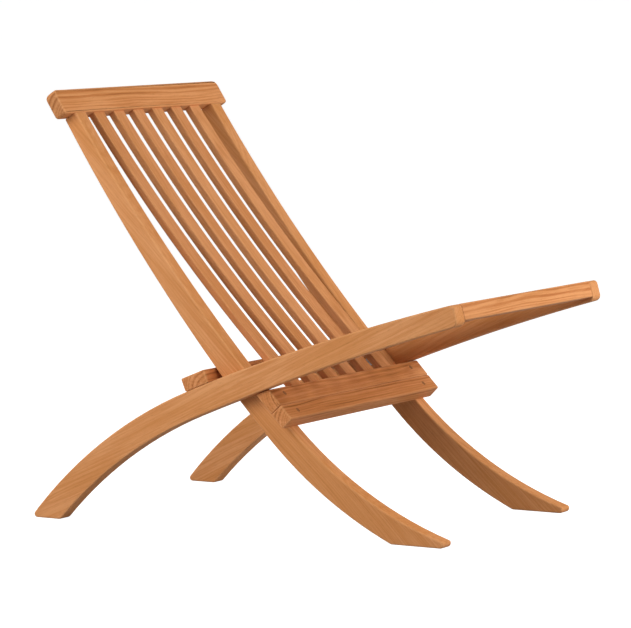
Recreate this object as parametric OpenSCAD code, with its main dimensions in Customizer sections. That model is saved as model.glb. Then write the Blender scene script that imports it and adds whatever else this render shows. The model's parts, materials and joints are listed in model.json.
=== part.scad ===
// Folding chair in solid timber: a back frame and a seat frame that cross at one pivot.
// Axes: X across the chair, -Y to the front, Z up. The origin is on the floor, in the middle.

/* [Overall] */
// Width of the seat over its two rails
seat_w = 560; // [500:5:620]
// Thickness of rails and stiles, measured across the chair
timber_t = 32; // [30:1:36]
// Free gap between a rail and the stile beside it
side_gap = 2; // [2:0.5:3]
// Height of the pivot above the floor
pivot_h = 253; // [250:1:258]
// Distance of the pivot behind the middle of the footprint
pivot_y = 11.2; // [0:0.1:20]

/* [Seat rails] */
// Slope of a rail at the pivot, in degrees
rail_slope = 21.5; // [20.5:0.1:22]
// Depth of a rail from the pivot to the rear foot
rail_depth = 47; // [44:1:48]
// Depth of a rail at its front end
rail_front_depth = 36.5; // [36:0.5:42]
// Length of a rail from the pivot to its front end
rail_reach = 451; // [420:1:470]
// Radius of the gentle bend under the seat
rail_seat_r = 4500; // [3500:10:5000]
// Radius of the bend of the rear leg
rail_foot_r = 803; // [780:1:830]
// Distance behind the pivot at which the rear leg's bend starts
rail_knee = 89; // [80:1:95]

/* [Back stiles] */
// Slope of a stile at the pivot, in degrees
stile_slope = 47.8; // [47:0.1:49]
// Depth of a stile and its front leg at the pivot and below
leg_depth = 44.5; // [40:0.5:46]
// Depth of a stile at the top rail
stile_top_depth = 27; // [25:1:32]
// Length of a stile from the pivot to the top rail
stile_reach = 574; // [540:1:600]
// Radius of the gentle bend of the back
back_r = 3430; // [3000:10:4000]
// Radius of the bend of the front leg
leg_foot_r = 739; // [730:1:750]
// Distance below the pivot at which the front leg's bend starts
leg_knee = 93; // [88:1:98]
// Height of the blunt toe of the front leg
toe_h = 10.5; // [9:0.5:14]

/* [Top rail] */
// Length of the top rail
top_rail_w = 550; // [520:5:558]
// Height of the top rail, measured along the back
top_rail_h = 49; // [40:1:55]
// Thickness of the top rail
top_rail_t = 24; // [22:1:27]

/* [Slats] */
// Distance between neighbouring slats, back and seat alike
slat_pitch = 65; // [64:1:66]
// Width of a back slat
back_slat_w = 34; // [30:1:34]
// Thickness of a back slat
back_slat_t = 13; // [12:0.5:14]
// Radius of the bend of a back slat
back_slat_r = 3300; // [3000:10:4000]
// Width of a seat slat
seat_slat_w = 26; // [20:1:26]
// Thickness of a seat slat
seat_slat_t = 14; // [12:0.5:16]

/* [Cross pieces] */
// Length of the two-strip board that carries the seat rails
board_w = 540; // [530:2:556]
// Thickness of the board
board_t = 26; // [24:1:28]
// Distance from the pivot down to the seam between the board's two strips
board_seam = 80; // [76:1:84]
// Height of the lower strip
lower_strip_h = 33.5; // [26:0.5:36]
// Depth of the front bar, measured square to the seat
front_bar_h = 29; // [26:1:32]
// Thickness of the front bar, measured along the seat
front_bar_t = 32; // [28:1:36]
// Width of the rear crossbar, measured along the rails
crossbar_w = 50; // [40:1:52]
// Thickness of the rear crossbar
crossbar_t = 24; // [22:1:24]

/* [Pivot] */
// Diameter of the pivot bolt
bolt_d = 8; // [6:0.5:10]
// Radial running clearance of the bolt in the stile
bolt_clearance = 0.05; // [0.03:0.01:0.08]
// Diameter of the bolt's flat head
bolt_head_d = 17; // [14:1:20]
// Diameter of the threaded insert in the rail
insert_d = 12; // [12:0.5:14]
// Length of the threaded insert
insert_l = 22; // [18:1:24]

/* [Hidden] */
$fn = 48;
back_slats = 6;
seat_slats = 7;
rail_x = seat_w / 2 - timber_t;               // inner face of a rail
stile_out = rail_x - side_gap;                // outer face of a stile
stile_in = stile_out - timber_t;              // inner face of a stile
pivot = [pivot_y, pivot_h];
rail_bend = [180 - rail_slope, rail_seat_r, rail_foot_r, rail_knee];
leg_bend = [stile_slope, back_r, leg_foot_r, leg_knee];
tenon = 15;                                   // depth of a slat or stile in its mortise
stop_gap = 0.4;                               // play left at the open stop
run_gap = 0.3;                                // side play of washer and bolt head
glue_gap = 0.2;                               // glue line between the board and the legs
upper_strip_blank = 63;                       // upper strip before its top is cut to the seat's slope
board_v = leg_depth / 2 + glue_gap;           // rear face of the board, on the front of the legs
seat_steps = 18;                              // stations from a member's free end to its knee
foot_steps = 14;                              // stations from the knee to the foot
screw_d = 4.5;
screw_head_d = 8;
plug_d = 9;
plug_l = 7;
screw_l = 44;
slat_screw_l = 30;
dowel_d = 8;
dowel_l = 40;
strip_screw_s = [22 - board_seam, -board_seam - lower_strip_h / 2];

// ---- Side view geometry: points are [y, z], s runs from the pivot along a bent member ----

function deg(a) = a * 180 / PI;
function unit(v) = v / norm(v);

// Point and heading after a distance s along an arc of radius r that turns left
function arc_point(p, h, r, s) = p + r * [sin(h + deg(s / r)) - sin(h), cos(h) - cos(h + deg(s / r))];
function knee_heading(b) = b[0] - deg(b[3] / b[1]);
function knee_point(b) = arc_point(pivot, b[0], b[1], -b[3]);
function heading(b, s) = s > -b[3] ? b[0] + deg(s / b[1]) : knee_heading(b) + deg((s + b[3]) / b[2]);
function spine(b, s) = s > -b[3]
    ? arc_point(pivot, b[0], b[1], s)
    : arc_point(knee_point(b), knee_heading(b), b[2], s + b[3]);

// Point at a distance v to the left of the spine
function beside(b, s, v) = spine(b, s) + v * [-sin(heading(b, s)), cos(heading(b, s))];

// Where the line at distance v from a leg's spine comes down to the height z
function foot_s(b, v, z = 0) =
    let (h = knee_heading(b), centre_z = knee_point(b)[1] + b[2] * cos(h))
    (acos((centre_z - z) / (b[2] - v)) - h) * b[2] * PI / 180 - b[3];

// Stations from the free end to the knee and on to the foot
function stations(b, reach, foot) = concat(
    [for (i = [0:seat_steps]) reach - (reach + b[3]) * i / seat_steps],
    [for (i = [1:foot_steps]) -b[3] + (foot + b[3]) * i / foot_steps]);
function reversed(a) = [for (i = [len(a) - 1:-1:0]) a[i]];

// Arc of radius r that rounds the corner b between a and c
function fillet(a, b, c, r) =
    let (u = unit(a - b), v = unit(c - b), half = acos(u * v) / 2,
         o = b + unit(u + v) * r / sin(half),
         p = b + u * r / tan(half) - o, q = b + v * r / tan(half) - o,
         a0 = atan2(p[1], p[0]), turn = (atan2(q[1], q[0]) - a0 + 540) % 360 - 180)
    [for (i = [0:6]) o + r * [cos(a0 + turn * i / 6), sin(a0 + turn * i / 6)]];

// Outline with a rounding radius at each corner, 0 where it stays sharp
function rounded(pts, radii) = let (n = len(pts))
    [for (i = [0:n - 1]) each radii[i] > 0
        ? fillet(pts[(i + n - 1) % n], pts[i], pts[(i + 1) % n], radii[i])
        : [pts[i]]];

// A strip between the offsets v0 and v1 of a bent member
function strip(b, s0, s1, v0, v1, n = 16) = concat(
    [for (i = [0:n]) beside(b, s0 + (s1 - s0) * i / n, v0)],
    [for (i = [n:-1:0]) beside(b, s0 + (s1 - s0) * i / n, v1)]);

function rail_half(s) = s < 0
    ? rail_depth / 2
    : rail_depth / 2 + (rail_front_depth - rail_depth) / 2 * s / rail_reach;
function stile_half(s) = s < 0
    ? leg_depth / 2
    : leg_depth / 2 + (stile_top_depth - leg_depth) / 2 * min(s, stile_reach) / stile_reach;

// Seat rail: the left side of its spine is the underside
rail_outline = let (
        top_foot = foot_s(rail_bend, -rail_depth / 2), low_foot = foot_s(rail_bend, rail_depth / 2),
        top = [for (s = stations(rail_bend, rail_reach, top_foot)) beside(rail_bend, s, -rail_half(s))],
        low = [for (s = stations(rail_bend, rail_reach, low_foot)) beside(rail_bend, s, rail_half(s))],
        n = len(top))
    rounded(concat(top, reversed(low)),
        [for (i = [0:2 * n - 1]) i == 0 ? 7 : i == n - 1 ? 6 : i == n ? 10 : i == 2 * n - 1 ? 10 : 0]);

// Stile with its front leg: the left side of its spine is the front
stile_outline = let (
        front_foot = foot_s(leg_bend, leg_depth / 2, toe_h), rear_foot = foot_s(leg_bend, -leg_depth / 2),
        end = stile_reach + tenon,
        front = [for (s = stations(leg_bend, stile_reach, front_foot)) beside(leg_bend, s, stile_half(s))],
        rear = [for (s = stations(leg_bend, stile_reach, rear_foot)) beside(leg_bend, s, -stile_half(s))],
        toe = front[len(front) - 1], n = len(front))
    concat(
        rounded(concat(front, [[toe[0], 0]], reversed(rear)),
            [for (i = [0:2 * n]) i == n - 1 ? 5 : i == n ? 6 : i == n + 1 ? 8 : 0]),
        [beside(leg_bend, stile_reach, -5), beside(leg_bend, end, -5),
         beside(leg_bend, end, 5), beside(leg_bend, stile_reach, 5)]);

// Back slat: an arc from inside the board to inside the top rail
slat_foot = beside(leg_bend, 28 - board_seam, board_v + board_t / 2 + 2.5);
slat_head = beside(leg_bend, stile_reach + tenon, 0);
slat_chord = slat_head - slat_foot;
slat_half_turn = asin(norm(slat_chord) / 2 / back_slat_r);
slat_heading = atan2(slat_chord[1], slat_chord[0]) - slat_half_turn;
slat_l = 2 * slat_half_turn * PI / 180 * back_slat_r;
function slat_point(s, v) = arc_point(slat_foot, slat_heading, back_slat_r, s)
    + v * [-sin(slat_heading + deg(s / back_slat_r)), cos(slat_heading + deg(s / back_slat_r))];
back_slat_outline = concat(
    [for (i = [0:16]) slat_point(slat_l * i / 16, back_slat_t / 2)],
    [for (i = [16:-1:0]) slat_point(slat_l * i / 16, -back_slat_t / 2)]);

// Seat slat: its upper face is flush with the rails, it runs from the front bar under the crossbar
crossing = stile_slope + rail_slope;
crossbar_front = stop_gap + leg_depth / 2 / sin(crossing) + (rail_depth / 2 + crossbar_t) / tan(crossing);
crossbar_mid = -crossbar_front - crossbar_w / 2;
slat_front = rail_reach - front_bar_t + tenon;
slat_rear = crossbar_mid - crossbar_w / 2;
seat_slat_outline = concat(
    [for (i = [0:20]) let (s = slat_front + (slat_rear - slat_front) * i / 20)
        beside(rail_bend, s, -rail_half(s))],
    [for (i = [20:-1:0]) let (s = slat_front + (slat_rear - slat_front) * i / 20)
        beside(rail_bend, s, seat_slat_t - rail_half(s))]);

// Everything below the underside of the rails, less the play at the open stop
under_seat = let (a = beside(rail_bend, -40, rail_half(0) + stop_gap),
                  b = beside(rail_bend, 160, rail_half(160) + stop_gap))
    [a, b, [b[0], 0], [a[0], 0]];

// ---- Solids ----

// Extrudes a side view outline across the chair, from x0 to x1
module across(outline, x0, x1)
    translate([x0, 0, 0]) rotate([90, 0, 90]) linear_extrude(x1 - x0) polygon(outline);

// Frame on a bent member: local Z runs along it away from the foot, local Y to its rear or top side
module on_member(b, s)
    translate([0, spine(b, s)[0], spine(b, s)[1]]) rotate([heading(b, s) - 90, 0, 0]) children();

// One side of the chair, -1 the right and 1 the left, seen by the sitter
module on_side(side) mirror([side < 0 ? 1 : 0, 0, 0]) children();

// Round piece on the pivot's axis
module disc(x, d, l) translate([x, pivot_y, pivot_h]) rotate([0, 90, 0]) cylinder(d = d, h = l);

// Countersunk wood screw that points down local -Z, its head's top at the origin
module wood_screw(l) {
    translate([0, 0, -screw_head_d / 2]) cylinder(d1 = screw_d, d2 = screw_head_d, h = screw_head_d / 2);
    translate([0, 0, 4 - l]) cylinder(d = screw_d, h = l - 4 - screw_head_d / 2 + 0.01);
    translate([0, 0, -l]) cylinder(d1 = 1, d2 = screw_d, h = 4.01);
}

// Places of the screws that hold the strips to the legs: local -Z goes into the wood
module at_board_screws()
    for (side = [-1, 1], s = strip_screw_s)
        translate([side * (stile_in + timber_t / 2), 0, 0]) on_member(leg_bend, s)
            translate([0, -board_v - board_t, 0]) rotate([90, 0, 0]) children();

// Places of the screws that hold the crossbar to the rails
module at_crossbar_screws()
    for (side = [-1, 1])
        translate([side * (rail_x + timber_t / 2), 0, 0]) on_member(rail_bend, crossbar_mid)
            translate([0, rail_depth / 2 + crossbar_t, 0]) rotate([-90, 0, 0]) children();

// Places of the screws that hold the seat slats under the crossbar
module at_slat_screws()
    for (i = [1:seat_slats])
        translate([slat_pitch * (i - (seat_slats + 1) / 2), 0, 0]) on_member(rail_bend, crossbar_mid)
            translate([0, rail_depth / 2 - seat_slat_t, 0]) rotate([90, 0, 0]) children();

module at_dowels()
    for (side = [-1, 1], z = [-front_bar_t / 4, front_bar_t / 4])
        translate([side * rail_x, 0, 0]) on_member(rail_bend, rail_reach - front_bar_t / 2)
            translate([-dowel_l / 2, rail_front_depth / 2 - front_bar_h / 2, z])
                rotate([0, 90, 0]) children();

module screw_hole(l) translate([0, 0, -plug_l]) union() {
    wood_screw(l);
    cylinder(d = plug_d, h = plug_l + 1);
}

module pivot_insert(side) color("goldenrod") on_side(side) difference() {
    disc(rail_x, insert_d, insert_l);
    disc(rail_x - 1, bolt_d, insert_l + 2);
}

module pivot_washer(side) color("silver") on_side(side) difference() {
    disc(rail_x - side_gap + run_gap, 22, side_gap - run_gap);
    disc(stile_out - 1, bolt_d, side_gap + 2);
}

// Flat head on the inside of the stile, shank through the stile, washer and insert
module pivot_bolt(side) color("silver") on_side(side) difference() {
    union() {
        disc(stile_in - run_gap - 3, bolt_head_d, 3);
        disc(stile_in - run_gap - 0.01, bolt_d, timber_t + side_gap + run_gap + insert_l - 1.99);
    }
    translate([stile_in - run_gap - 3.5, pivot_y, pivot_h]) rotate([0, 90, 0]) cylinder(d = 5.8, h = 3, $fn = 6);
}

module seat_rail(side) color("peru") on_side(side) difference() {
    across(rail_outline, rail_x, rail_x + timber_t);
    disc(rail_x - 1, insert_d, insert_l + 1);
    at_crossbar_screws() screw_hole(screw_l);
    at_dowels() cylinder(d = dowel_d, h = dowel_l);
}

module back_stile(side) color("sandybrown") on_side(side) difference() {
    across(stile_outline, stile_in, stile_out);
    disc(stile_in - 1, bolt_d + 2 * bolt_clearance, timber_t + 2);
    at_board_screws() screw_hole(screw_l);
}

module back_slat(i) color("sandybrown")
    let (x = slat_pitch * (i - (back_slats + 1) / 2))
        across(back_slat_outline, x - back_slat_w / 2, x + back_slat_w / 2);

module seat_slat(i) color("burlywood") let (x = slat_pitch * (i - (seat_slats + 1) / 2)) difference() {
    across(seat_slat_outline, x - seat_slat_w / 2, x + seat_slat_w / 2);
    at_slat_screws() wood_screw(slat_screw_l);
}

// Rounded bar with mortises for the stiles and the slats
module top_rail() color("peru") difference() {
    on_member(leg_bend, stile_reach) intersection() {
        rotate([90, 0, 90]) translate([0, 0, -top_rail_w / 2]) linear_extrude(top_rail_w)
            polygon(rounded([[-top_rail_t / 2, 0], [top_rail_t / 2, 0],
                [top_rail_t / 2, top_rail_h], [-top_rail_t / 2, top_rail_h]], [3, 3, 8, 6]));
        rotate([90, 0, 0]) translate([0, 0, -top_rail_t]) linear_extrude(2 * top_rail_t)
            polygon(rounded([[-top_rail_w / 2, 0], [top_rail_w / 2, 0],
                [top_rail_w / 2, top_rail_h], [-top_rail_w / 2, top_rail_h]], [6, 6, 14, 14]));
    }
    for (side = [-1, 1]) on_side(side) across(stile_outline, stile_in, stile_out);
    for (i = [1:back_slats]) back_slat(i);
}

module board_strip(s0, s1) intersection() {
    across(strip(leg_bend, s0, s1, board_v, board_v + board_t, 4), -board_w / 2, board_w / 2);
    across(under_seat, -board_w, board_w);
}

module board_upper_strip() color("peru") difference() {
    board_strip(-board_seam, upper_strip_blank - board_seam);
    for (i = [1:back_slats]) back_slat(i);
    at_board_screws() screw_hole(screw_l);
}

module board_lower_strip() color("peru") difference() {
    board_strip(-board_seam - lower_strip_h, -board_seam);
    at_board_screws() screw_hole(screw_l);
}

module board_screws() color("silver") at_board_screws() translate([0, 0, -plug_l]) wood_screw(screw_l);

module board_plugs() color("saddlebrown") at_board_screws()
    translate([0, 0, -plug_l]) cylinder(d = plug_d, h = plug_l);

// Bar between the rails, flush with their front ends, notched for the slats
module front_bar() color("peru") difference() {
    across(strip(rail_bend, rail_reach - front_bar_t, rail_reach, -rail_front_depth / 2,
        front_bar_h - rail_front_depth / 2, 2), -rail_x, rail_x);
    for (i = [1:seat_slats]) seat_slat(i);
    at_dowels() cylinder(d = dowel_d, h = dowel_l);
}

module front_bar_dowels() color("burlywood") at_dowels() cylinder(d = dowel_d, h = dowel_l);

// Flat bar on top of the rails behind the stiles, which lean on it
module rear_crossbar() color("peru") difference() {
    on_member(rail_bend, crossbar_mid) translate([-seat_w / 2, rail_depth / 2, -crossbar_w / 2])
        cube([seat_w, crossbar_t, crossbar_w]);
    at_crossbar_screws() screw_hole(screw_l);
    at_slat_screws() wood_screw(slat_screw_l);
}

module crossbar_screws() color("silver") at_crossbar_screws()
    translate([0, 0, -plug_l]) wood_screw(screw_l);

module crossbar_plugs() color("saddlebrown") at_crossbar_screws()
    translate([0, 0, -plug_l]) cylinder(d = plug_d, h = plug_l);

module slat_screws() color("silver") at_slat_screws() wood_screw(slat_screw_l);

back_stile(1);  // back_stile_left
back_stile(-1);  // back_stile_right
top_rail();
for (i = [1:back_slats]) back_slat(i);
board_upper_strip();
board_lower_strip();
board_screws();
board_plugs();
seat_rail(1);  // seat_rail_left
seat_rail(-1);  // seat_rail_right
front_bar();
front_bar_dowels();
rear_crossbar();
for (i = [1:seat_slats]) seat_slat(i);
crossbar_screws();
crossbar_plugs();
slat_screws();
pivot_bolt(1);  // pivot_bolt_left
pivot_bolt(-1);  // pivot_bolt_right
pivot_insert(1);  // pivot_insert_left
pivot_insert(-1);  // pivot_insert_right
pivot_washer(1);  // pivot_washer_left
pivot_washer(-1);  // pivot_washer_right
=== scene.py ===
"""Folding chair in oiled hardwood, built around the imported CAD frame. Metres, Z up, front at -Y."""

import json
import math
import random

import bmesh
import bpy
from mathutils import Matrix, Vector
from mathutils.bvhtree import BVHTree


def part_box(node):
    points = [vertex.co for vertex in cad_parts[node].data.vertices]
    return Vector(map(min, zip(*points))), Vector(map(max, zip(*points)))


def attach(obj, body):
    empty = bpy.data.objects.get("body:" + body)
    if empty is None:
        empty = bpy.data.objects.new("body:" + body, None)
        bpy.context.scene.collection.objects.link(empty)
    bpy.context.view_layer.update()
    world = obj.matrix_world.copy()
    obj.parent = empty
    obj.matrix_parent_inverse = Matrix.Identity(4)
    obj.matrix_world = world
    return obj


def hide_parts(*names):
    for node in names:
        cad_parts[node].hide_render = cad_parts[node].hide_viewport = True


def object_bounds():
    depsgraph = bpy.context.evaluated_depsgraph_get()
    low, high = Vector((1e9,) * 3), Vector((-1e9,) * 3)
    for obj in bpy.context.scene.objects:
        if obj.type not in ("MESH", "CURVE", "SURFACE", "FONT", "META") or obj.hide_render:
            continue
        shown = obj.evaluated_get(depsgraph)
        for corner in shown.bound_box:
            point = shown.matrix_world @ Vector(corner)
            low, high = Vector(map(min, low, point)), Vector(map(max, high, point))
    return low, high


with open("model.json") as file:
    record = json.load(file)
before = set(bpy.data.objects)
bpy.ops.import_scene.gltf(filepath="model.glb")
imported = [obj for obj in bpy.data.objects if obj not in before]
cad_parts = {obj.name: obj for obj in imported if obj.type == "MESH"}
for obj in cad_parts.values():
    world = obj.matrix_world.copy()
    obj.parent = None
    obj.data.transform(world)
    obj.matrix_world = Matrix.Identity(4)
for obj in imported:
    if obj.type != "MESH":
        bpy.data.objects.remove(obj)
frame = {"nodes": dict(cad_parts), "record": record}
CAD_LOW, CAD_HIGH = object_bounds()

RECORD = frame["record"]
NODES = frame["nodes"]
BODY_OF = {n: body for body, names in RECORD["behaviour"]["bodies"].items() for n in names}
SLOT_OF = {part["node"]: part["material_slot"] for part in RECORD["subparts"]}

# Radius of the softened arrises, by node name prefix
ARRIS = {
    "back_stile": 0.0028,
    "seat_rail": 0.0028,
    "top_rail": 0.0025,
    "back_slat": 0.0020,
    "seat_slat": 0.0020,
    "board_upper": 0.0026,
    "board_lower": 0.0028,
    "front_bar": 0.0024,
    "rear_crossbar": 0.0026,
    "board_plugs": 0.0004,
    "crossbar_plugs": 0.0004,
    "pivot_bolt": 0.0005,
    "pivot_washer": 0.0003,
}
ARRIS_SEGMENTS = 3
ARRIS_ANGLE = math.radians(30)   # edges sharper than this are softened
CREASE_ANGLE = math.radians(40)  # edges still sharper than this stay creased
JOINT_REACH = 0.00035            # an edge this close to a partner in a joint stays crisp
SUNK = ("screws", "plugs", "dowels", "bolt", "insert")
SEALED = ("front_bar_dowels",)   # never seen, so the CAD solid stays
PARTNERS = {
    "top_rail": ("back_stile", "back_slat"),
    "board_upper": ("back_slat",),
    "front_bar": ("seat_slat",),
    "back_stile": ("top_rail",),
}

# Tone of single pieces, below 0 paler and above 0 darker; the others draw theirs from -1 to 1
TONES_AND_PAINTED_LIGHT = {
    # Board strips: partly their own tone, partly painted shade on the upper strip under the seat and
    # painted light on the lower strip
    "board_upper_strip": 2.6,
    "board_lower_strip": -0.9,
    "top_rail": -1.0,
    "front_bar": -0.7,
    "back_stile_right": -0.3,
    "seat_rail_right": 0.1,
}
# How dark a cut end is, by node name prefix
CUT_ENDS = {"board_": 1.0, "rear_crossbar": 0.75, "top_rail": 0.5}
PLAIN_CUT = 0.12

# Photograph's viewpoint
CAMERA_PLACE = (-5.747, -3.230, 0.988)
CAMERA_AZIMUTH = math.radians(-60.62)
CAMERA_ELEVATION = math.radians(5.47)
CAMERA_LENS = 213.7
CAMERA_SENSOR = 36.0

# Soft sources: name, azimuth, elevation, distance and watts. The last one fills the back.
LAMPS = (
    ("right_softbox", -106, 20, 2.9, 61),
    ("left_softbox", 26, 18, 3.0, 74),
    ("high_softbox", -20, 52, 3.4, 38),
    ("back_fill", 170, 35, 3.2, 42),
)
LAMP_SIZE = 2.2
DOME = 0.02
FLOOR_GREYS = (168, 176)         # what the floor gives back to the chair; the camera sees it white
FLOOR_RADIUS = 400.0

# What makes up the shade of the timber, on top of each timber's own share of rings
STREAK_SHARE = 0.28
FIGURE_SHARE = 0.30
FIBRE_SHARE = 0.42
TONE_AND_LIGHT_SHARE = 0.17
END_SHARE = 0.78                 # how far a fully cut end takes the colour of its growth rings
PORE_SHARE = 0.22
# Strength of the painted highlight on the rounded arrises
ARRIS_HIGHLIGHT_SHARE = 0.22


# ---- Colour and node helpers ----

def srgb(red, green, blue):
    """Linear colour of an 8-bit sRGB one."""
    def linear(value):
        c = value / 255
        return c / 12.92 if c <= 0.04045 else ((c + 0.055) / 1.055) ** 2.4
    return (linear(red), linear(green), linear(blue), 1.0)


class Graph:
    """Adds nodes to a material and links them by socket."""

    def __init__(self, name):
        self.material = bpy.data.materials.new(name)
        self.material.use_nodes = True
        self.tree = self.material.node_tree
        self.shader = self.tree.nodes["Principled BSDF"]

    def feed(self, socket, value):
        if isinstance(value, bpy.types.NodeSocket):
            self.tree.links.new(value, socket)
        else:
            socket.default_value = value

    def add(self, kind, **settings):
        node = self.tree.nodes.new(kind)
        for key, value in settings.items():
            setattr(node, key, value)
        return node

    def attribute(self, name, output):
        return self.add("ShaderNodeAttribute", attribute_name=name).outputs[output]

    def math(self, operation, a, b=0.0):
        node = self.add("ShaderNodeMath", operation=operation)
        self.feed(node.inputs[0], a)
        self.feed(node.inputs[1], b)
        return node.outputs[0]

    def vector(self, operation, a, b=(0.0, 0.0, 0.0)):
        node = self.add("ShaderNodeVectorMath", operation=operation)
        self.feed(node.inputs[0], a)
        self.feed(node.inputs[1], b)
        return node.outputs["Value" if operation == "LENGTH" else "Vector"]

    def noise(self, vector, scale, detail=2.0, roughness=0.5):
        """Noise whose scale along each axis is given in features per metre."""
        node = self.add("ShaderNodeTexNoise")
        self.feed(node.inputs["Vector"], self.vector("MULTIPLY", vector, scale))
        node.inputs["Scale"].default_value = 1.0
        node.inputs["Detail"].default_value = detail
        node.inputs["Roughness"].default_value = roughness
        return node

    def smooth(self, value, low, high, to_low=0.0, to_high=1.0):
        node = self.add("ShaderNodeMapRange", interpolation_type="SMOOTHSTEP")
        self.feed(node.inputs["Value"], value)
        for name, number in zip(("From Min", "From Max", "To Min", "To Max"),
                                (low, high, to_low, to_high)):
            node.inputs[name].default_value = number
        return node.outputs["Result"]

    def mix(self, factor, a, b, blend="MIX"):
        node = self.add("ShaderNodeMix", data_type="RGBA", blend_type=blend)
        self.feed(node.inputs["Factor"], factor)
        self.feed(node.inputs["A"], a)
        self.feed(node.inputs["B"], b)
        return node.outputs["Result"]

    def bump(self, height, distance, strength=1.0):
        node = self.add("ShaderNodeBump")
        node.inputs["Strength"].default_value = strength
        node.inputs["Distance"].default_value = distance
        self.feed(node.inputs["Height"], height)
        return node.outputs["Normal"]


# ---- Materials ----

def timber(name, pale, mid, dark, ring_gap=0.0034, ring_share=0.20):
    """Oiled straight-grained hardwood that follows each piece's own grain attribute."""
    g = Graph(name)
    grain = g.attribute("grain", "Vector")
    tone_and_painted_light = g.attribute("tone_and_painted_light", "Fac")
    end = g.attribute("end", "Fac")
    depth = g.attribute("cut", "Fac")
    arris_highlight = g.attribute("arris_highlight", "Fac")

    # Growth rings round a pith that wanders along the grain
    drift = g.noise(grain, (2.2, 9.0, 9.0), detail=2.0).outputs["Color"]
    drift = g.vector("MULTIPLY", g.vector("SUBTRACT", drift, (0.5, 0.5, 0.5)), (0.0, 0.030, 0.030))
    bent = g.vector("ADD", grain, drift)
    radius = g.vector("LENGTH", g.vector("MULTIPLY", bent, (0.0, 1.0, 1.0)))
    rings = g.add("ShaderNodeTexNoise", noise_dimensions="1D")
    g.feed(rings.inputs["W"], g.math("MULTIPLY", radius, 1.0 / ring_gap))
    rings.inputs["Scale"].default_value = 1.0
    rings.inputs["Detail"].default_value = 1.5
    ring = g.smooth(rings.outputs["Fac"], 0.36, 0.72)

    # Figure, streaks, fibre and pores, each drawn out along the grain
    figure = g.smooth(g.noise(grain, (4.5, 26.0, 26.0), 3.0).outputs["Fac"], 0.32, 0.70)
    streak = g.smooth(g.noise(bent, (5.0, 330.0, 330.0), 3.0, 0.6).outputs["Fac"], 0.34, 0.68)
    fibre = g.noise(grain, (24.0, 1300.0, 1300.0), 2.0, 0.6).outputs["Fac"]
    pore = g.smooth(g.noise(grain, (85.0, 2000.0, 2000.0), 1.0).outputs["Fac"], 0.60, 0.72)

    shade = g.math("ADD", g.math("MULTIPLY", ring, ring_share),
                   g.math("MULTIPLY", streak, STREAK_SHARE))
    shade = g.math("ADD", shade, g.math("MULTIPLY", figure, FIGURE_SHARE))
    shade = g.math("ADD", shade, g.math("MULTIPLY", g.math("SUBTRACT", fibre, 0.5), FIBRE_SHARE))
    # The tone attribute also carries the board strips' painted shade and painted light
    shade = g.math("ADD", shade, g.math("MULTIPLY", tone_and_painted_light, TONE_AND_LIGHT_SHARE))
    colour = g.mix(g.smooth(shade, -0.05, 0.62), pale, mid)
    colour = g.mix(g.smooth(shade, 0.55, 1.10), colour, dark)
    colour = g.mix(g.smooth(figure, 0.0, 1.0, 0.0, 0.16), colour, srgb(214, 150, 84))
    colour = g.mix(g.math("MULTIPLY", pore, PORE_SHARE), colour, srgb(112, 66, 40))

    # Cut ends drink more oil, and the rounded arrises are lightened as a painted highlight
    cut = g.smooth(end, 0.55, 0.95)
    growth = g.mix(ring, srgb(160, 112, 76), srgb(98, 62, 40))
    end_share = g.math("MULTIPLY", g.math("MULTIPLY", cut, depth), END_SHARE)
    colour = g.mix(end_share, colour, growth)
    # Painted highlight: the bevel faces are mixed toward a pale tan
    colour = g.mix(g.math("MULTIPLY", arris_highlight, ARRIS_HIGHLIGHT_SHARE), colour, srgb(226, 170, 118))
    g.feed(g.shader.inputs["Base Color"], colour)

    rough = g.math("ADD", g.smooth(streak, 0.0, 1.0, 0.56, 0.66), g.math("MULTIPLY", cut, 0.18))
    g.feed(g.shader.inputs["Roughness"], g.math("ADD", rough, g.math("MULTIPLY", pore, 0.10)))
    relief = g.math("SUBTRACT", g.math("MULTIPLY", fibre, 0.6), g.math("MULTIPLY", pore, 0.8))
    relief = g.math("ADD", relief, g.math("MULTIPLY", ring, -0.35))
    g.feed(g.shader.inputs["Normal"], g.bump(relief, 0.00007, 0.40))
    g.shader.inputs["IOR"].default_value = 1.46
    g.shader.inputs["Specular IOR Level"].default_value = 0.30
    return g.material


def hidden_timber(name):
    """Pale dowel wood for the sealed dowels, grained along X."""
    g = Graph(name)
    place = g.add("ShaderNodeTexCoord").outputs["Object"]
    streak = g.noise(place, (30.0, 900.0, 900.0), 3.0).outputs["Fac"]
    g.feed(g.shader.inputs["Base Color"], g.mix(streak, srgb(214, 172, 122), srgb(168, 118, 74)))
    g.feed(g.shader.inputs["Roughness"], g.smooth(streak, 0.2, 0.8, 0.55, 0.7))
    g.feed(g.shader.inputs["Normal"], g.bump(streak, 0.0002, 0.5))
    return g.material


def metal(name, bright, dull, rough_low, rough_high):
    """Turned metal with fine machining marks and a soft cloudy film."""
    g = Graph(name)
    place = g.add("ShaderNodeTexCoord").outputs["Object"]
    marks = g.noise(place, (4200.0, 900.0, 900.0), 3.0, 0.65).outputs["Fac"]
    film = g.noise(place, (160.0, 160.0, 160.0), 3.0).outputs["Fac"]
    g.feed(g.shader.inputs["Base Color"], g.mix(g.smooth(film, 0.3, 0.75), bright, dull))
    g.feed(g.shader.inputs["Roughness"], g.smooth(marks, 0.25, 0.8, rough_low, rough_high))
    g.feed(g.shader.inputs["Normal"], g.bump(marks, 0.00004, 0.5))
    g.shader.inputs["Metallic"].default_value = 1.0
    return g.material


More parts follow.
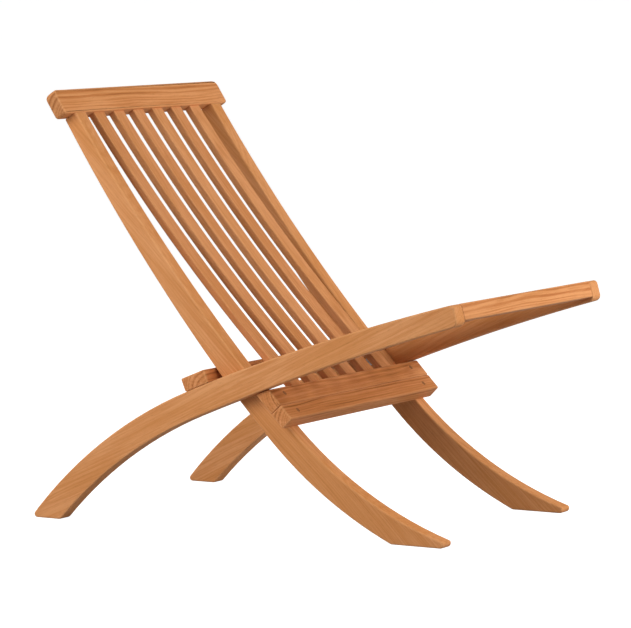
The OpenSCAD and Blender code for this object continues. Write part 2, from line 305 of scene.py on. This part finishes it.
def make_materials():
    """One material for each slot of the record."""
    return {
        "frame_timber": timber("frame_timber", srgb(222, 157, 104), srgb(203, 133, 78),
                               srgb(152, 86, 44)),
        "cross_timber": timber("cross_timber", srgb(222, 154, 100), srgb(194, 121, 70),
                               srgb(118, 60, 29), ring_gap=0.0046, ring_share=0.46),
        "slat_timber": timber("slat_timber", srgb(220, 154, 103), srgb(199, 130, 80),
                              srgb(152, 88, 48), ring_gap=0.0030),
        "plug_timber": timber("plug_timber", srgb(190, 124, 76), srgb(166, 102, 60),
                              srgb(122, 74, 44), ring_gap=0.0012),
        "stainless_steel": metal("stainless_steel", srgb(205, 206, 210), srgb(170, 171, 175),
                                 0.26, 0.42),
        "brass": metal("brass", srgb(222, 184, 104), srgb(176, 136, 66), 0.28, 0.46),
    }


# ---- Geometry ----

def by_prefix(table, node, default=None):
    for prefix, value in table.items():
        if node.startswith(prefix):
            return value
    return default


def surface_of(names):
    """Search tree over the surfaces of several CAD nodes."""
    points = []
    faces = []
    for name in names:
        mesh = NODES[name].data
        start = len(points)
        points.extend(v.co.copy() for v in mesh.vertices)
        faces.extend([start + i for i in p.vertices] for p in mesh.polygons)
    return BVHTree.FromPolygons(points, faces) if faces else None


def joint_surfaces(node):
    """Surfaces of what is let into this node, where its edges stay crisp."""
    prefixes = by_prefix(PARTNERS, node, ())
    names = [n for n in NODES if n != node
             and (any(word in n for word in SUNK) or n.startswith(tuple(prefixes)))]
    return surface_of(names)


def soft_edges(bm, joints):
    """Convex edges to round off, without those of mortises, notches and holes."""
    chosen = []
    for edge in bm.edges:
        if len(edge.link_faces) != 2 or edge.calc_face_angle_signed(0.0) < ARRIS_ANGLE:
            continue
        middle = (edge.verts[0].co + edge.verts[1].co) / 2
        if joints and joints.find_nearest(middle, JOINT_REACH)[0] is not None:
            continue
        chosen.append(edge)
    return chosen


def cleaned(mesh):
    """The CAD mesh with its points joined and its flat faces whole again."""
    bm = bmesh.new()
    bm.from_mesh(mesh)
    for layer in list(bm.loops.layers.uv):
        bm.loops.layers.uv.remove(layer)
    bmesh.ops.remove_doubles(bm, verts=bm.verts, dist=2e-6)
    bmesh.ops.dissolve_limit(bm, angle_limit=math.radians(0.08), verts=bm.verts, edges=bm.edges)
    bmesh.ops.recalc_face_normals(bm, faces=bm.faces)
    return bm


def softened(bm, width, joints):
    """Rounds the arrises, and marks the new faces and the edges that stay sharp."""
    # The new bevel faces are marked to carry the painted highlight
    arris_highlight = bm.faces.layers.float.new("arris_highlight")
    made = bmesh.ops.bevel(bm, geom=soft_edges(bm, joints), offset=width, offset_type="OFFSET",
                           segments=ARRIS_SEGMENTS, profile=0.5, affect="EDGES",
                           clamp_overlap=False)
    for face in made["faces"]:
        face[arris_highlight] = 1.0
    for edge in bm.edges:
        edge.smooth = len(edge.link_faces) == 2 and edge.calc_face_angle(0.0) < CREASE_ANGLE


def grain_axes(node, mesh):
    """Unit vectors along, across and through the grain of a node."""
    if "plugs" in node:
        along = max(mesh.polygons, key=lambda p: p.area).normal.copy()
        across = Vector((1, 0, 0))
        return along, across, along.cross(across)
    low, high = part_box(node)
    size = high - low
    if size.x > max(size.y, size.z):
        return Vector((1, 0, 0)), Vector((0, 1, 0)), Vector((0, 0, 1))
    rising = -1 if BODY_OF[node] == "seat_frame" else 1
    along = Vector((0, size.y * rising, size.z)).normalized()
    across = Vector((1, 0, 0))
    return along, across, along.cross(across)


def add_grain(node, mesh):
    """Writes what the timber shader reads: grain coordinates, tone with painted shade and light on
    the board strips, and how far a face is cut.
    """
    dice = random.Random(node)
    along, across, through = grain_axes(node, mesh)
    low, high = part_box(node)
    centre = (low + high) / 2
    angle = dice.uniform(0, math.tau)
    pith = Vector((dice.uniform(0, 40), math.cos(angle), math.sin(angle)))
    reach = dice.uniform(0.035, 0.090)
    # The board strips' values hold painted shade and painted light besides their tone
    tone_and_painted_light = TONES_AND_PAINTED_LIGHT.get(node, dice.uniform(-1, 1))
    cut = by_prefix(CUT_ENDS, node, PLAIN_CUT)
    grain = mesh.attributes.new("grain", "FLOAT_VECTOR", "POINT")
    for vertex, item in zip(mesh.vertices, grain.data):
        p = vertex.co - centre
        item.vector = (p.dot(along) + pith.x, p.dot(across) + pith.y * reach,
                       p.dot(through) + pith.z * reach)
    ends = mesh.attributes.new("end", "FLOAT", "FACE")
    cuts = mesh.attributes.new("cut", "FLOAT", "FACE")
    tones_and_painted_light = mesh.attributes.new("tone_and_painted_light", "FLOAT", "FACE")
    for face, end_item, cut_item, tone_and_light_item in zip(mesh.polygons, ends.data, cuts.data, tones_and_painted_light.data):
        end_item.value = abs(face.normal.dot(along))
        cut_item.value = cut
        tone_and_light_item.value = tone_and_painted_light


def make_piece(node, materials):
    """A finished piece that stands for one CAD node."""
    bm = cleaned(NODES[node].data)
    softened(bm, by_prefix(ARRIS, node), joint_surfaces(node))
    mesh = bpy.data.meshes.new("finished_" + node)
    bm.to_mesh(mesh)
    bm.free()
    if "timber" in SLOT_OF[node]:
        add_grain(node, mesh)
    mesh.materials.append(materials[SLOT_OF[node]])
    piece = bpy.data.objects.new("finished_" + node, mesh)
    bpy.context.scene.collection.objects.link(piece)
    normals = piece.modifiers.new("normals", "WEIGHTED_NORMAL")
    normals.keep_sharp = True
    normals.weight = 100
    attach(piece, BODY_OF[node])
    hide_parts(node)


def dress_node(node, materials):
    """Gives a CAD node that stays its own material."""
    material = materials[SLOT_OF[node]]
    if node in SEALED:
        material = materials["dowels"]
    slots = NODES[node].data.materials
    slots.clear()
    slots.append(material)


# ---- Stage ----

def add_floor():
    """A pale floor that the camera sees white, and that lights the chair as a mid grey."""
    g = Graph("studio_floor")
    place = g.add("ShaderNodeTexCoord").outputs["Object"]
    mottle = g.noise(place, (1.5, 1.5, 1.5), 3.0).outputs["Fac"]
    g.feed(g.shader.inputs["Base Color"], g.mix(mottle, *(srgb(v, v, v) for v in FLOOR_GREYS)))
    g.shader.inputs["Roughness"].default_value = 0.9
    g.shader.inputs["Specular IOR Level"].default_value = 0.1
    g.shader.inputs["Emission Color"].default_value = (1.0, 1.0, 1.0, 1.0)
    g.feed(g.shader.inputs["Emission Strength"],
           g.add("ShaderNodeLightPath").outputs["Is Camera Ray"])
    bm = bmesh.new()
    bmesh.ops.create_circle(bm, cap_ends=True, segments=96, radius=FLOOR_RADIUS)
    mesh = bpy.data.meshes.new("studio_floor")
    bm.to_mesh(mesh)
    bm.free()
    mesh.materials.append(g.material)
    floor = bpy.data.objects.new("studio_floor", mesh)
    bpy.context.scene.collection.objects.link(floor)


def add_lamp(name, azimuth, elevation, distance, watts):
    """A broad soft source; the angles in degrees say where it stands, 0 in front of the chair."""
    turn = math.radians(azimuth)
    rise = math.radians(elevation)
    flat = math.cos(rise)
    back = Vector((math.sin(turn) * flat, -math.cos(turn) * flat, math.sin(rise)))
    data = bpy.data.lights.new(name, "AREA")
    data.shape = "DISK"
    data.size = LAMP_SIZE
    data.energy = watts
    lamp = bpy.data.objects.new(name, data)
    lamp.location = (CAD_LOW + CAD_HIGH) / 2 + back * distance
    lamp.rotation_euler = back.to_track_quat("Z", "Y").to_euler()
    lamp.visible_camera = False
    lamp.visible_glossy = False      # its glint at a grazing angle breaks up into speckle
    bpy.context.scene.collection.objects.link(lamp)


def add_light():
    """The lamps, and a world that is dim as a light and white where the camera sees it."""
    world = bpy.data.worlds.new("studio")
    world.use_nodes = True
    nodes = world.node_tree.nodes
    link = world.node_tree.links.new
    dome = nodes["Background"]
    backdrop = nodes.new("ShaderNodeBackground")
    for shader, strength in ((dome, DOME), (backdrop, 1.0)):
        shader.inputs["Color"].default_value = (1.0, 1.0, 1.0, 1.0)
        shader.inputs["Strength"].default_value = strength
    sight = nodes.new("ShaderNodeLightPath")
    choice = nodes.new("ShaderNodeMixShader")
    link(sight.outputs["Is Camera Ray"], choice.inputs[0])
    link(dome.outputs[0], choice.inputs[1])
    link(backdrop.outputs[0], choice.inputs[2])
    link(choice.outputs[0], nodes["World Output"].inputs["Surface"])
    bpy.context.scene.world = world
    for lamp in LAMPS:
        add_lamp(*lamp)
    bpy.context.scene.view_settings.view_transform = "Standard"


def add_camera():
    flat = math.cos(CAMERA_ELEVATION)
    back = Vector((math.sin(CAMERA_AZIMUTH) * flat, -math.cos(CAMERA_AZIMUTH) * flat,
                   math.sin(CAMERA_ELEVATION)))
    right = Vector((0, 0, 1)).cross(back).normalized()
    up = back.cross(right)
    data = bpy.data.cameras.new("camera")
    data.sensor_width = CAMERA_SENSOR
    data.lens = CAMERA_LENS
    camera = bpy.data.objects.new("camera", data)
    turn = Matrix((right, up, back)).transposed().to_4x4()
    camera.matrix_world = Matrix.Translation(CAMERA_PLACE) @ turn
    bpy.context.scene.collection.objects.link(camera)
    bpy.context.scene.camera = camera


def main():
    add_camera()
    add_floor()
    add_light()
    materials = make_materials()
    materials["dowels"] = hidden_timber("dowel_timber")
    for node in sorted(NODES):
        if by_prefix(ARRIS, node) and node not in SEALED:
            make_piece(node, materials)
        else:
            dress_node(node, materials)


main()
